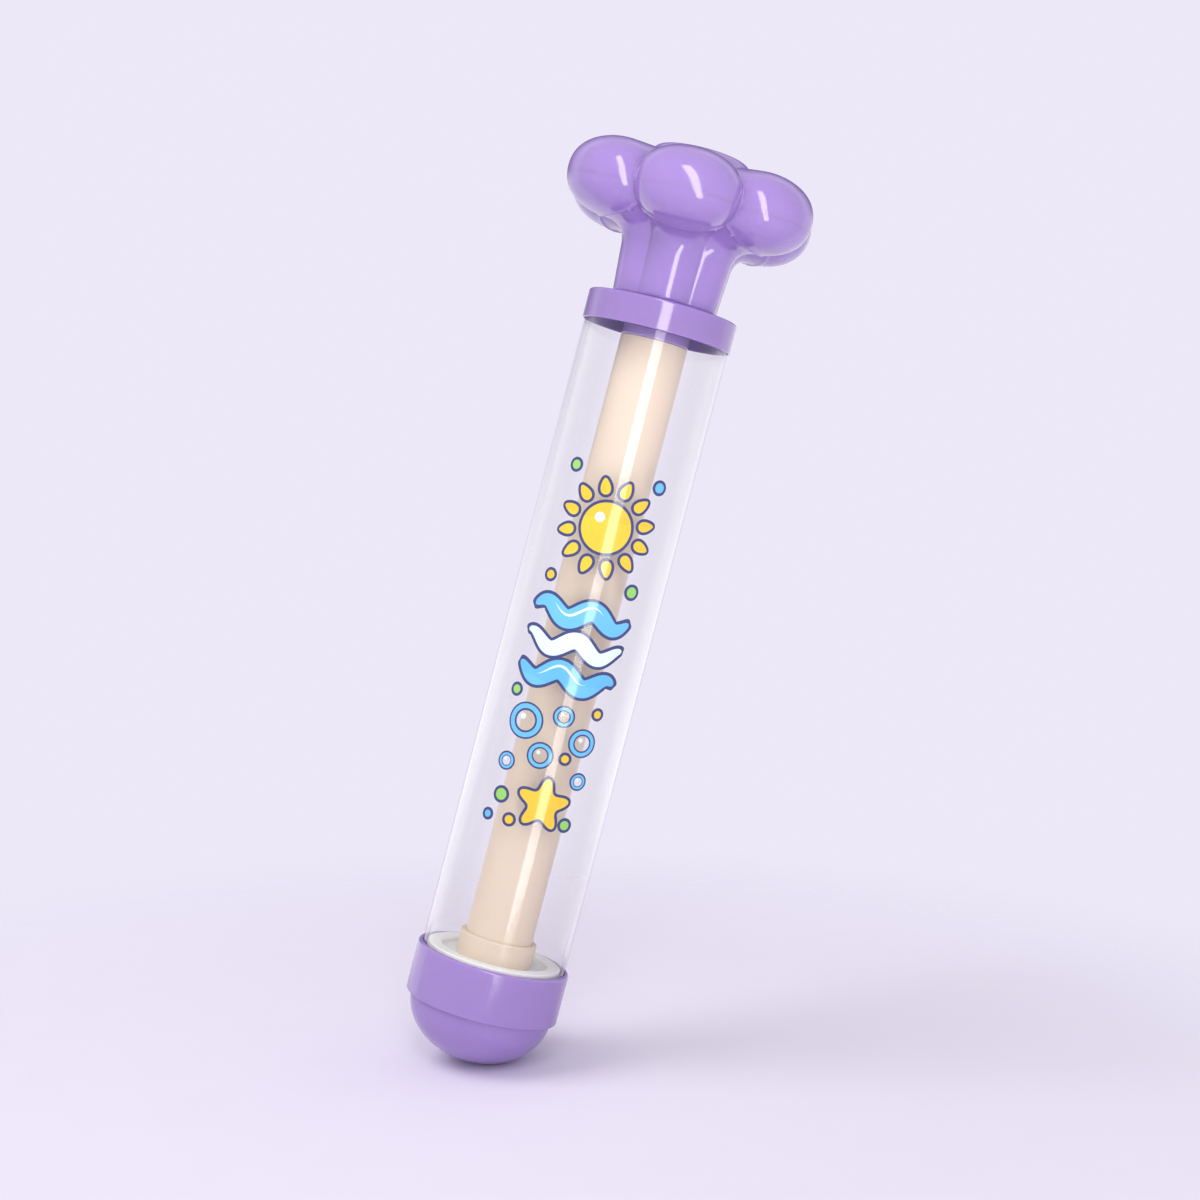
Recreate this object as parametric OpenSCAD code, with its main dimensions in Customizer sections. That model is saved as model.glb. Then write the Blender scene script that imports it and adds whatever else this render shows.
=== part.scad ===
// Pull-and-push water squirter. A clear barrel has a domed nozzle cap at its lower end and a
// guide collar at its upper end. The plunger slides and turns in it: a flower-shaped handle on
// a fluted neck, a hollow rod, a flared foot and a piston with a sealing ring.
// The axis is +Z, the nozzle points down and the dome's tip is at the origin.

/* [Barrel tube] */
// Outside diameter of the clear tube
tube_od = 38.4; // [34:0.2:44]
// Wall of the clear tube
tube_wall = 1.2; // [0.8:0.1:1.6]
// Length of tube that shows between the cap's rim and the collar
tube_show = 167.2; // [120:0.2:220]

/* [Nozzle cap] */
// Height of the dome below the skirt
dome_h = 14.8; // [12:0.1:18]
// Wall of the dome
dome_wall = 2.3; // [1.8:0.1:3]
// Step from the tube's outside in to the dome
dome_inset = 0.3; // [0.1:0.05:0.6]
// Wall of the skirt that grips the tube
cap_skirt_wall = 1.1; // [0.9:0.05:2]
// Height of the skirt's sloping lip
cap_lip_h = 1.8; // [1:0.1:4]
// Share of the skirt's wall that is left at the top of the lip
cap_lip_share = 0.35; // [0.3:0.05:0.9]
// Bevel on the skirt's lower edge
cap_edge = 0.7; // [0.2:0.1:0.9]
// Height of the tube's seat above the dome
seat_rise = 0.8; // [0.4:0.1:1.5]
// Diameter of the nozzle's hole
nozzle_d = 3.6; // [2:0.1:6]
// Length of the nozzle's hole
nozzle_len = 6; // [4:0.1:9]
// Diameter of the boss round the nozzle
nozzle_boss_d = 9; // [8:0.1:12]

/* [Cap gasket] */
// Thickness of the gasket under the tube
gasket_t = 1; // [0.6:0.1:1.4]
// Width of the gasket across its ring
gasket_w = 2; // [1.4:0.1:2.4]

/* [Guide collar] */
// Height of the collar
collar_h = 7.7; // [6:0.1:12]
// Wall of the collar round the tube
collar_wall = 0.5; // [0.4:0.05:2]
// Wall of the collar's ring inside the tube
collar_ring_wall = 1.4; // [1:0.1:2.2]
// Thickness of the collar's top plate
collar_plate_t = 2.2; // [1.4:0.1:3]
// Bevel on the collar's top edge
collar_edge = 0.4; // [0.2:0.1:0.5]

/* [Push rod] */
// Outside diameter of the rod
rod_od = 17.8; // [16:0.1:19]
// Wall of the rod
rod_wall = 1.5; // [1:0.1:2]

/* [Rod foot] */
// Wall of the foot round the rod
foot_wall = 1.3; // [0.8:0.1:2]
// Height of the foot above the piston's rim
foot_rise = 5.2; // [4:0.1:9]
// Thickness of the foot's floor under the rod
foot_floor_t = 3; // [1.5:0.1:4]
// Length of the plug that goes up into the rod
foot_plug_len = 10; // [8:0.1:20]
// Bevel on the foot's top edge
foot_edge = 1; // [0.2:0.1:1.1]

/* [Piston] */
// Height of the piston
piston_h = 10; // [8.5:0.1:14]
// Depth of the piston's rim below the cap's lip
piston_drop = 0.2; // [0.1:0.1:1]
// Gap between the piston and the cap's gasket when the plunger is home
piston_clear = 1.9; // [0.5:0.1:4]
// Width of the rim round the piston's recess
piston_rim_w = 3.5; // [2:0.1:4.5]
// Depth of the recess in the piston's top
piston_recess_depth = 1; // [0.5:0.1:1.5]

/* [Sealing ring] */
// Thickness of the sealing ring's section
seal_section = 2.5; // [1.6:0.1:3]

/* [Screw and washer] */
// Diameter of the screw's shank
screw_d = 4; // [3:0.1:5]
// Length of the screw's shank under its head
screw_len = 16; // [13:0.1:17]
// Diameter of the screw's head
screw_head_d = 8; // [7:0.1:9]
// Height of the screw's head
screw_head_h = 2.4; // [1.8:0.1:2.8]
// Diameter of the washer
washer_d = 11; // [9.5:0.1:13]
// Thickness of the washer
washer_t = 1; // [0.6:0.1:1.2]

/* [Handle neck] */
// Length of the stem that shows below the collar
stem_show = 1.6; // [0.5:0.1:4]
// Length of the spigot inside the rod
spigot_len = 15; // [8:0.5:30]
// Wall of the spigot
spigot_wall = 1.6; // [1:0.1:2.5]
// Diameter of each column of the neck
column_d = 16.5; // [15:0.1:18]
// Distance of each column's centre from the axis at the neck's base
column_ring_r = 6.2; // [5.5:0.1:7]
// Outward lean of the columns in degrees
column_lean = 4.5; // [2:0.1:6]
// Diameter of the hollow inside the neck
neck_core_d = 19; // [16:0.1:20]
// Thickness of the neck's floor
neck_floor_t = 2.5; // [1.5:0.1:4]

/* [Handle flower] */
// Number of lobes and of neck columns
lobe_count = 6; // [6:1:6]
// Thickness of each lobe
lobe_d = 20.4; // [19.4:0.1:21.4]
// Straight stretch along each lobe's middle
lobe_straight = 6.4; // [5.6:0.1:7.4]
// Distance of the lobes' centres from the axis
lobe_ring_r = 23.4; // [22.6:0.1:24.2]
// Height of the lobes' middle above the collar
lobe_rise = 28; // [26:0.1:34]
// Depth of the parting line below the lobes' middle
seam_drop = 2; // [1:0.1:3]
// Height of the button's top above the lobes' middle
button_rise = 14.2; // [13.5:0.1:16]
// Diameter of the button among the lobes
button_d = 27; // [25.4:0.1:28]
// Radius of the button's domed top
button_curve_r = 49; // [44:0.5:60]
// Bevel round the button's top
button_edge = 1.5; // [0.6:0.1:1.8]
// Height of the deck round the button above the lobes' middle
deck_rise = 4; // [3.2:0.1:4.6]
// Radius at which the deck ends inside the lobes
deck_r = 22; // [21:0.1:22.8]
// Radius at which the flare starts on the neck
flare_start_r = 13.5; // [13.2:0.1:14]
// Radius of the flare's hollow curve
flare_curve_r = 11; // [10:0.1:11.5]
// Depth of the flare's top below the lobes' middle
flare_drop = 4.9; // [4.2:0.1:5.6]
// Wall of the hollow flower
shell_wall = 1.8; // [1.4:0.1:2.2]
// Depth of the locating ring below the parting line
tongue_len = 2.5; // [1.5:0.1:2.5]

/* [Hidden] */
$fn = 96;

// Clearances
glue_gap = 0.05;
guide_gap = 0.2;
piston_gap = 0.3;
seal_gap = 0.05;
rest_gap = 0.3;
screw_gap = 0.05;
washer_gap = 0.4;
head_gap = 0.2;
overrun = 1;

// Screw's cross slot
slot_w = 1.1;
slot_depth = 1.3;
slot_len_share = 0.66;

// Ring inside the flower that lines its two shells up
tongue_wall = 1.6;
core_wall = 3.2;

// Radii
tube_r = tube_od / 2;
bore_r = tube_r - tube_wall;
socket_r = tube_r + glue_gap;
cap_r = socket_r + cap_skirt_wall;
cap_lip_r = socket_r + cap_skirt_wall * cap_lip_share;
dome_r = tube_r - dome_inset;
collar_r = socket_r + collar_wall;
collar_ring_r = bore_r - glue_gap;
rod_r = rod_od / 2;
rod_bore_r = rod_r - rod_wall;
guide_r = rod_r + guide_gap;
plug_r = rod_bore_r - glue_gap;
foot_socket_r = rod_r + glue_gap;
foot_r = foot_socket_r + foot_wall;
piston_r = bore_r - piston_gap;
recess_r = piston_r - piston_rim_w;
seal_outer_r = bore_r - seal_gap;
seal_mid_r = seal_outer_r - seal_section / 2;
groove_r = seal_mid_r - seal_section / 2 - seal_gap;
groove_w = seal_section + 2 * guide_gap;
screw_r = screw_d / 2;
washer_r = washer_d / 2;
pocket_r = washer_r + washer_gap;
column_r = column_d / 2;
lobe_r = lobe_d / 2;
button_r = button_d / 2;
flare_top_r = flare_start_r + flare_curve_r;
core_r = flare_top_r - flare_curve_r + core_wall;
tongue_r = core_r - glue_gap;

// Heights
seat_z = dome_h + seat_rise;
tube_z = seat_z + gasket_t;
piston_z = tube_z + piston_clear;
piston_top_z = piston_z + piston_h;
rim_z = piston_top_z + piston_drop;
collar_z = rim_z + tube_show;
collar_top_z = collar_z + collar_h;
plate_z = collar_top_z - collar_plate_t;
groove_z = piston_z + piston_h / 2;
foot_z = piston_top_z - piston_recess_depth;
foot_top_z = piston_top_z + foot_rise;
rod_z = foot_z + foot_floor_t;
rod_top_z = collar_z - stem_show;
plug_top_z = rod_z + foot_plug_len;
head_z = piston_z + head_gap;
washer_z = head_z + screw_head_h;
pocket_z = washer_z + washer_t;
neck_z = collar_top_z + rest_gap;
spigot_z = rod_top_z - spigot_len;
lobe_z = collar_top_z + lobe_rise;
seam_z = lobe_z - seam_drop;
flare_top_z = lobe_z - flare_drop;
flare_z = flare_top_z - flare_curve_r;
deck_z = lobe_z + deck_rise;
button_z = lobe_z + button_rise;
button_drop = button_curve_r - sqrt(button_curve_r * button_curve_r - button_r * button_r);
button_edge_z = button_z - button_drop - button_edge;
lobe_step = 360 / lobe_count;
lobe_turn = -90;

// A ring with square edges
module ring(outer, inner, h) {
    difference() {
        cylinder(r = outer, h = h);
        translate([0, 0, -overrun])
            cylinder(r = inner, h = h + 2 * overrun);
    }
}

// A bar with round ends, lying along Y
module capsule(r, straight) {
    rotate([90, 0, 0])
        rotate_extrude() {
            translate([0, -straight / 2])
                square([r, straight]);
            for (side = [-1, 1])
                intersection() {
                    translate([0, side * straight / 2])
                        circle(r = r);
                    translate([0, -straight / 2 - r])
                        square([r, straight + 2 * r]);
                }
        }
}

// The ring of lobes, or its hollow when drawn in by a wall
module lobes(inset) {
    for (i = [0 : lobe_count - 1])
        rotate([0, 0, lobe_turn + i * lobe_step])
            translate([lobe_ring_r, 0, lobe_z])
                capsule(lobe_r - inset, lobe_straight);
}

// The button and the deck round it, or their hollow when drawn in by a wall
module crown(inset) {
    intersection() {
        translate([0, 0, button_z - button_curve_r])
            sphere(r = button_curve_r - inset);
        rotate_extrude()
            polygon([
                [0, seam_z - overrun],
                [button_r - inset, seam_z - overrun],
                [button_r - inset, button_edge_z],
                [0, button_edge_z + button_r - inset]
            ]);
    }
    translate([0, 0, seam_z - overrun])
        cylinder(r = deck_r - inset, h = deck_z - inset - seam_z + overrun);
}

// The flared top of the neck, a body of revolution up to the parting line
module flare() {
    rotate_extrude()
        difference() {
            translate([0, flare_z])
                square([flare_top_r, seam_z - flare_z + overrun]);
            translate([flare_top_r, flare_z])
                circle(r = flare_curve_r);
        }
}

// The columns of the fluted neck
module columns() {
    for (i = [0 : lobe_count - 1])
        rotate([0, 0, lobe_turn + i * lobe_step])
            translate([column_ring_r, 0, neck_z])
                rotate([0, column_lean, 0])
                    translate([0, 0, -column_r])
                        cylinder(r = column_r, h = column_r + flare_top_z - neck_z);
}

module barrel_tube() {
    color([0.88, 0.92, 0.96, 0.35])
        translate([0, 0, tube_z])
            ring(tube_r, bore_r, plate_z - tube_z);
}

module nozzle_cap() {
    color([0.60, 0.47, 0.80])
        difference() {
            union() {
                rotate_extrude()
                    intersection() {
                        translate([0, dome_h])
                            scale([dome_r, dome_h])
                                circle(r = 1);
                        square([dome_r + overrun, dome_h]);
                    }
                rotate_extrude()
                    polygon([
                        [0, dome_h],
                        [cap_r - cap_edge, dome_h],
                        [cap_r, dome_h + cap_edge],
                        [cap_r, rim_z - cap_lip_h],
                        [cap_lip_r, rim_z],
                        [0, rim_z]
                    ]);
            }
            difference() {
                rotate_extrude()
                    intersection() {
                        translate([0, dome_h])
                            scale([dome_r - dome_wall, dome_h - dome_wall])
                                circle(r = 1);
                        square([dome_r, dome_h]);
                    }
                cylinder(r = nozzle_boss_d / 2, h = nozzle_len);
            }
            translate([0, 0, dome_h])
                cylinder(r = dome_r - dome_wall, h = seat_rise + overrun);
            translate([0, 0, seat_z])
                cylinder(r = socket_r, h = rim_z - seat_z + overrun);
            translate([0, 0, -overrun])
                cylinder(r = nozzle_d / 2, h = nozzle_len + 2 * overrun);
        }
}

module cap_gasket() {
    color([0.25, 0.25, 0.27])
        translate([0, 0, seat_z])
            ring(tube_r, tube_r - gasket_w, gasket_t);
}

module guide_collar() {
    color([0.60, 0.47, 0.80])
        difference() {
            rotate_extrude()
                polygon([
                    [0, collar_z],
                    [collar_r, collar_z],
                    [collar_r, collar_top_z - collar_edge],
                    [collar_r - collar_edge, collar_top_z],
                    [0, collar_top_z]
                ]);
            translate([0, 0, collar_z - overrun])
                ring(socket_r, collar_ring_r, plate_z - collar_z + overrun);
            translate([0, 0, collar_z - overrun])
                cylinder(r = collar_ring_r - collar_ring_wall, h = plate_z - collar_z + overrun);
            translate([0, 0, plate_z - overrun])
                cylinder(r = guide_r, h = collar_plate_t + 2 * overrun);
        }
}

module push_rod() {
    color([0.93, 0.87, 0.79])
        translate([0, 0, rod_z])
            ring(rod_r, rod_bore_r, rod_top_z - rod_z);
}

module rod_foot() {
    color([0.93, 0.87, 0.79])
        difference() {
            union() {
                difference() {
                    rotate_extrude()
                        polygon([
                            [0, foot_z],
                            [foot_r, foot_z],
                            [foot_r, foot_top_z - foot_edge],
                            [foot_r - foot_edge, foot_top_z],
                            [0, foot_top_z]
                        ]);
                    translate([0, 0, rod_z])
                        cylinder(r = foot_socket_r, h = foot_top_z - rod_z + overrun);
                }
                translate([0, 0, rod_z - overrun])
                    cylinder(r = plug_r, h = foot_plug_len + overrun);
            }
            translate([0, 0, foot_z - overrun])
                cylinder(r = screw_r + screw_gap, h = plug_top_z - foot_z + 2 * overrun);
        }
}

module piston() {
    color([0.95, 0.95, 0.94])
        difference() {
            translate([0, 0, piston_z])
                cylinder(r = piston_r, h = piston_h);
            translate([0, 0, foot_z])
                cylinder(r = recess_r, h = piston_recess_depth + overrun);
            translate([0, 0, groove_z - groove_w / 2])
                ring(piston_r + overrun, groove_r, groove_w);
            translate([0, 0, piston_z - overrun])
                cylinder(r = pocket_r, h = pocket_z - piston_z + overrun);
            translate([0, 0, piston_z])
                cylinder(r = screw_r + screw_gap, h = piston_h);
        }
}

module sealing_ring() {
    color([0.20, 0.20, 0.22])
        translate([0, 0, groove_z])
            rotate_extrude()
                translate([seal_mid_r, 0])
                    circle(r = seal_section / 2);
}

module piston_washer() {
    color([0.72, 0.73, 0.75])
        translate([0, 0, washer_z])
            ring(washer_r, screw_r + screw_gap, washer_t);
}

module piston_screw() {
    color([0.72, 0.73, 0.75])
        difference() {
            union() {
                translate([0, 0, head_z])
                    cylinder(r = screw_head_d / 2, h = screw_head_h);
                translate([0, 0, head_z])
                    cylinder(r = screw_r, h = screw_head_h + screw_len);
            }
            for (turn = [0, 90])
                rotate([0, 0, turn])
                    translate([-screw_head_d * slot_len_share / 2, -slot_w / 2, head_z - overrun])
                        cube([screw_head_d * slot_len_share, slot_w, slot_depth + overrun]);
        }
}

module handle_base() {
    color([0.62, 0.49, 0.82])
        difference() {
            union() {
                intersection() {
                    union() {
                        columns();
                        flare();
                        lobes(0);
                    }
                    translate([0, 0, neck_z])
                        cylinder(r = lobe_ring_r + lobe_r + overrun, h = seam_z - neck_z);
                }
                translate([0, 0, rod_top_z])
                    cylinder(r = rod_r, h = neck_z - rod_top_z + overrun);
                translate([0, 0, spigot_z])
                    cylinder(r = plug_r, h = spigot_len + overrun);
            }
            lobes(shell_wall);
            translate([0, 0, neck_z + neck_floor_t])
                cylinder(r = neck_core_d / 2, h = seam_z - neck_z);
            translate([0, 0, flare_top_z])
                cylinder(r = core_r, h = seam_z - flare_top_z + overrun);
            translate([0, 0, spigot_z - overrun])
                cylinder(r = plug_r - spigot_wall, h = neck_z + neck_floor_t - spigot_z + 2 * overrun);
        }
}

module handle_top() {
    color([0.64, 0.51, 0.84])
        union() {
            difference() {
                intersection() {
                    union() {
                        lobes(0);
                        crown(0);
                    }
                    translate([0, 0, seam_z])
                        cylinder(r = lobe_ring_r + lobe_r + overrun, h = button_z - seam_z + overrun);
                }
                lobes(shell_wall);
                crown(shell_wall);
            }
            translate([0, 0, seam_z - tongue_len])
                ring(tongue_r, tongue_r - tongue_wall, tongue_len + deck_z - shell_wall / 2 - seam_z);
        }
}

barrel_tube();
nozzle_cap();
cap_gasket();
guide_collar();
push_rod();
rod_foot();
piston();
sealing_ring();
piston_washer();
piston_screw();
handle_base();
handle_top();
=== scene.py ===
import math

import bmesh
import bpy
import numpy as np
from mathutils import Matrix, Vector


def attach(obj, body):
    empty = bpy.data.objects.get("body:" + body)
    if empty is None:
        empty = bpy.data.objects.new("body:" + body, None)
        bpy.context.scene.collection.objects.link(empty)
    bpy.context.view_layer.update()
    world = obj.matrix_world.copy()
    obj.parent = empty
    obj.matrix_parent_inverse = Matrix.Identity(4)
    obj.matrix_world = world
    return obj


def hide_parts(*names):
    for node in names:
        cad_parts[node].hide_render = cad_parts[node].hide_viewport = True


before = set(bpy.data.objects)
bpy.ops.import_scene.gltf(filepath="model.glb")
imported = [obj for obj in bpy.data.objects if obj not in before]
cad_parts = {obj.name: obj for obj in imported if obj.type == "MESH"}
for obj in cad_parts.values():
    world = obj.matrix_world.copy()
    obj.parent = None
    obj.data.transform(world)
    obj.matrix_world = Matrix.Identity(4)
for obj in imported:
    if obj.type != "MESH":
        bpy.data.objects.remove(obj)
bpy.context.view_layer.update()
mm = 0.001
scene = bpy.context.scene
scene.view_settings.view_transform = "Standard"


class Wire:  # a node socket that joins in Python sums
    def __init__(self, tree, socket=None):
        self.tree, self.socket = tree, socket

    def node(self, kind, settings=None, sockets=None, out=0):
        made = self.tree.nodes.new(kind)
        for key, value in (settings or {}).items():
            setattr(made, key, value)
        for key, value in (sockets or {}).items():
            if isinstance(value, Wire):
                self.tree.links.new(value.socket, made.inputs[key])
            else:
                made.inputs[key].default_value = value
        return Wire(self.tree, made.outputs[out] if len(made.outputs) else None)

    def other(self, out):  # another output of the same node
        return Wire(self.tree, self.socket.node.outputs[out])

    def maths(self, operation, first, second=0.0):
        return self.node("ShaderNodeMath", {"operation": operation}, {0: first, 1: second})

    def __add__(self, more):
        return self.maths("ADD", self, more)

    def __radd__(self, more):
        return self.maths("ADD", more, self)

    def __sub__(self, less):
        return self.maths("SUBTRACT", self, less)

    def __rsub__(self, more):
        return self.maths("SUBTRACT", more, self)

    def __mul__(self, times):
        return self.maths("MULTIPLY", self, times)

    def __rmul__(self, times):
        return self.maths("MULTIPLY", times, self)

    def __pow__(self, power):
        return self.maths("POWER", self, power)

    def __rpow__(self, base):
        return self.maths("POWER", base, self)

    def larger(self, than):
        return self.maths("MAXIMUM", self, than)

    def swing(self, size):  # a noise's 0 to 1 turned into a change about zero
        return (self - 0.5) * size

    def shared(self, fine, share):  # this value with a share of a finer one
        return self * (1 - share) + fine * share

    def ease(self, low, high):  # 0 at low, 1 at high, soft between
        return self.node("ShaderNodeMapRange", {"interpolation_type": "SMOOTHSTEP"},
                         {0: self, 1: low, 2: high})

    def blend(self, low, high):  # colours mixed by this value
        return self.node("ShaderNodeMix", {"data_type": "RGBA"}, {0: self, 6: low, 7: high}, 2)

    def mixed(self, first, second):  # shaders mixed by this value
        return self.node("ShaderNodeMixShader", {}, {0: self, 1: first, 2: second})

    def relief(self, strength, deep):  # a bump from this height
        return self.node("ShaderNodeBump", {}, {"Strength": strength, "Distance": deep, "Height": self})

    def along(self, way):  # how far a direction points along another
        return self.node("ShaderNodeVectorMath", {"operation": "DOT_PRODUCT"}, {0: self, 1: tuple(way)}, 1)

    def place(self):  # a point's place on the piece, in metres
        return self.node("ShaderNodeTexCoord", out="Object")

    def stretched(self, scale):
        return self.node("ShaderNodeMapping", {}, {"Vector": self, "Scale": scale})

    def noise(self, scale, detail=2.0):
        return self.node("ShaderNodeTexNoise", {}, {"Vector": self, "Scale": scale, "Detail": detail})

    def split(self):
        first = self.node("ShaderNodeSeparateXYZ", {}, {"Vector": self})
        return first, first.other(1), first.other(2)

    def plastic(self, values):
        return self.node("ShaderNodeBsdfPrincipled", {}, values)


def startMaterial(name):
    made = bpy.data.materials.new(name)
    made.use_nodes = True
    made.node_tree.nodes.clear()
    return made, Wire(made.node_tree)


def endMaterial(wire, shader):
    wire.node("ShaderNodeOutputMaterial", {}, {"Surface": shader})


# Camera: level with the middle of the tube, turned so that the squirter leans to the right
cameraSet = {"turn": 4.0, "far": 0.551, "height": 0.1468, "aimSide": 0.0033, "aimHeight": 0.1258,
             "roll": 14.66, "lens": 63.3, "sensor": 36.0, "nearest": 0.01}


def makeCamera(c):
    a, r = math.radians(c["turn"]), math.radians(c["roll"])
    side, back = Vector((math.cos(a), math.sin(a), 0)), Vector((-math.sin(a), math.cos(a), 0))
    eye = -back * c["far"] + Vector((0, 0, c["height"]))
    look = (side * c["aimSide"] + Vector((0, 0, c["aimHeight"])) - eye).normalized()
    level = look.cross(Vector((0, 0, 1))).normalized()
    rise = level.cross(look)
    right = level * math.cos(r) + rise * math.sin(r)
    up = rise * math.cos(r) - level * math.sin(r)
    data = bpy.data.cameras.new("camera")
    data.lens, data.sensor_width, data.clip_start = c["lens"], c["sensor"], c["nearest"]
    camera = bpy.data.objects.new("camera", data)
    camera.matrix_world = Matrix((right, up, -look)).transposed().to_4x4()
    camera.matrix_world.translation = eye
    scene.collection.objects.link(camera)
    scene.camera = camera
    return look, right, up


look, right, up = makeCamera(cameraSet)
print("camera set")


# Finishes: deep and pale are the ends of the tone, scales are per metre, rough values add to the gloss
purpleFinish = {"deep": (0.286, 0.182, 0.480, 1), "pale": (0.332, 0.216, 0.536, 1), "gloss": 0.11,
                "index": 1.78, "driftScale": 38, "fleckScale": 3200, "peelScale": 460,
                "rubScale": (160, 160, 22), "rubStart": 0.56, "rubFull": 0.78,
                "fleckShare": 0.15, "driftRough": 0.05, "rubRough": 0.06, "fleckRough": 0.04,
                "relief": 0.06, "reliefDeep": 0.0002,
                "glow": 0.4, "glowTint": (1.0, 0.8, 1.2), "glowDeep": 0.0025}


def purplePlastic(f, name="purple_plastic"):
    made, w = startMaterial(name)
    spot = w.place()
    drift = spot.noise(f["driftScale"], 3)              # slow change of tone in the moulding
    fleck = spot.noise(f["fleckScale"])
    peel = spot.noise(f["peelScale"])                   # faint waviness of the polished mould
    rub = spot.stretched(f["rubScale"]).noise(1, 4).ease(f["rubStart"], f["rubFull"])
    tone = drift.shared(fleck, f["fleckShare"])
    rough = f["gloss"] + drift.swing(f["driftRough"]) + rub * f["rubRough"] + fleck.swing(f["fleckRough"])
    shader = w.plastic({
        "Base Color": tone.blend(f["deep"], f["pale"]), "Roughness": rough, "IOR": f["index"],
        "Normal": peel.shared(fleck, f["fleckShare"]).relief(f["relief"], f["reliefDeep"]),
        "Subsurface Weight": f["glow"], "Subsurface Radius": f["glowTint"],
        "Subsurface Scale": f["glowDeep"]})
    if "bore" in f:                                     # matt, with painted shade: darker inside a radius and below a height
        bore = f["bore"]
        x, y, z = spot.split()
        inside = 1 - ((x * x + y * y) ** 0.5).ease(bore["r"] - bore["edge"], bore["r"])
        below = 1 - z.ease(bore["top"] - bore["fade"], bore["top"])
        mattShade = w.plastic({
            "Base Color": tone.blend(bore["deep"], bore["pale"]), "Specular IOR Level": 0.0,
            "Roughness": bore["rough"] + fleck.swing(bore["fleckRough"])})
        shader = (inside * below).mixed(shader, mattShade)
    endMaterial(w, shader)
    return made


creamFinish = {"deep": (0.715, 0.590, 0.446, 1), "pale": (0.765, 0.648, 0.505, 1), "gloss": 0.34,
               "index": 1.36, "driftScale": 30, "drawScale": (1500, 1500, 9), "grainScale": 2600,
               "drawShare": 0.3, "grainShare": 0.3, "drawRough": 0.16, "grainRough": 0.08,
               "relief": 0.12, "reliefDeep": 0.0001}


def creamPlastic(f):
    made, w = startMaterial("cream_plastic")
    spot = w.place()
    drift = spot.noise(f["driftScale"], 3)
    draw = spot.stretched(f["drawScale"]).noise(1, 3)   # lines along the drawn rod
    grain = spot.noise(f["grainScale"])
    endMaterial(w, w.plastic({
        "Base Color": drift.shared(draw, f["drawShare"]).blend(f["deep"], f["pale"]), "IOR": f["index"],
        "Roughness": f["gloss"] + draw.swing(f["drawRough"]) + grain.swing(f["grainRough"]),
        "Normal": draw.shared(grain, f["grainShare"]).relief(f["relief"], f["reliefDeep"])}))
    return made


# The darkest white below is painted shade: the piston's colour in its recess and below it.
whiteFinish = {"deep": (0.925, 0.948, 0.925, 1), "pale": (0.955, 0.972, 0.950, 1),
               "sunkShade": (0.790, 0.812, 0.825, 1), "floor": 0.02785, "floorFade": 0.0004, "floorDrift": 0.0003,
               "gloss": 0.36, "index": 1.48, "driftScale": 70, "grainScale": 2200, "grainShare": 0.3,
               "grainRough": 0.15, "relief": 0.15, "reliefDeep": 0.0001}


def whitePlastic(f):
    made, w = startMaterial("white_plastic")
    spot = w.place()
    drift, grain = spot.noise(f["driftScale"], 3), spot.noise(f["grainScale"], 3)
    top = drift.shared(grain, f["grainShare"]).blend(f["deep"], f["pale"])
    height = spot.split()[2] + drift.swing(f["floorDrift"])
    raised = height.ease(f["floor"], f["floor"] + f["floorFade"])
    endMaterial(w, w.plastic({
        "Base Color": raised.blend(f["sunkShade"], top),     # painted shade: darker in the recess and below
        "Roughness": f["gloss"] + grain.swing(f["grainRough"]), "IOR": f["index"],
        "Normal": grain.relief(f["relief"], f["reliefDeep"])}))
    return made


rubberFinish = {"deep": (0.014, 0.014, 0.016, 1), "pale": (0.040, 0.040, 0.044, 1), "gloss": 0.55,
                "index": 1.52, "bloomScale": 240, "grainScale": 5200, "grainShare": 0.25, "bloomRough": 0.3,
                "relief": 0.25, "reliefDeep": 0.00008}


def sealRubber(f):
    made, w = startMaterial("seal_rubber")
    spot = w.place()
    bloom, grain = spot.noise(f["bloomScale"], 4), spot.noise(f["grainScale"])
    endMaterial(w, w.plastic({
        "Base Color": bloom.shared(grain, f["grainShare"]).blend(f["deep"], f["pale"]),
        "Roughness": f["gloss"] + bloom.swing(f["bloomRough"]), "IOR": f["index"],
        "Normal": grain.relief(f["relief"], f["reliefDeep"])}))
    return made


steelFinish = {"deep": (0.42, 0.43, 0.45, 1), "pale": (0.66, 0.67, 0.69, 1), "gloss": 0.30,
               "plateScale": 900, "latheScale": (300, 300, 9000), "latheShare": 0.3,
               "plateRough": 0.25, "relief": 0.2, "reliefDeep": 0.00005}


def screwSteel(f):
    made, w = startMaterial("screw_steel")
    spot = w.place()
    plate, lathe = spot.noise(f["plateScale"], 4), spot.stretched(f["latheScale"]).noise(1)
    endMaterial(w, w.plastic({
        "Base Color": plate.shared(lathe, f["latheShare"]).blend(f["deep"], f["pale"]), "Metallic": 1.0,
        "Roughness": f["gloss"] + plate.swing(f["plateRough"]),
        "Normal": lathe.relief(f["relief"], f["reliefDeep"])}))
    return made


# side and rim are painted shade: see-through tints that darken towards the tube's sides and at its outline
clearFinish = {"tint": (0.994, 0.993, 0.994, 1), "side": (0.975, 0.973, 0.972, 1),
               "rim": (0.925, 0.920, 0.925, 1), "shine": (0.95, 0.95, 0.97, 1), "mirror": 0.9,
               "haze": 0.040, "edge": 0.90, "edgePower": 3.2, "gloss": 0.045,
               "sideFrom": 0.05, "sideFull": 0.26, "rimFrom": 0.79, "rimFull": 0.87,
               "boreR": 0.0182, "outerR": 0.0190, "boreShare": 0.5,
               "drawScale": (700, 700, 6), "scuffScale": (260, 260, 90), "waveScale": (120, 120, 25),
               "scuffStart": 0.60, "scuffFull": 0.80, "scuffHaze": 0.02, "scuffRough": 0.08,
               "drawHaze": 0.01, "waveShare": 0.5, "relief": 0.06, "reliefDeep": 0.0001}


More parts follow.
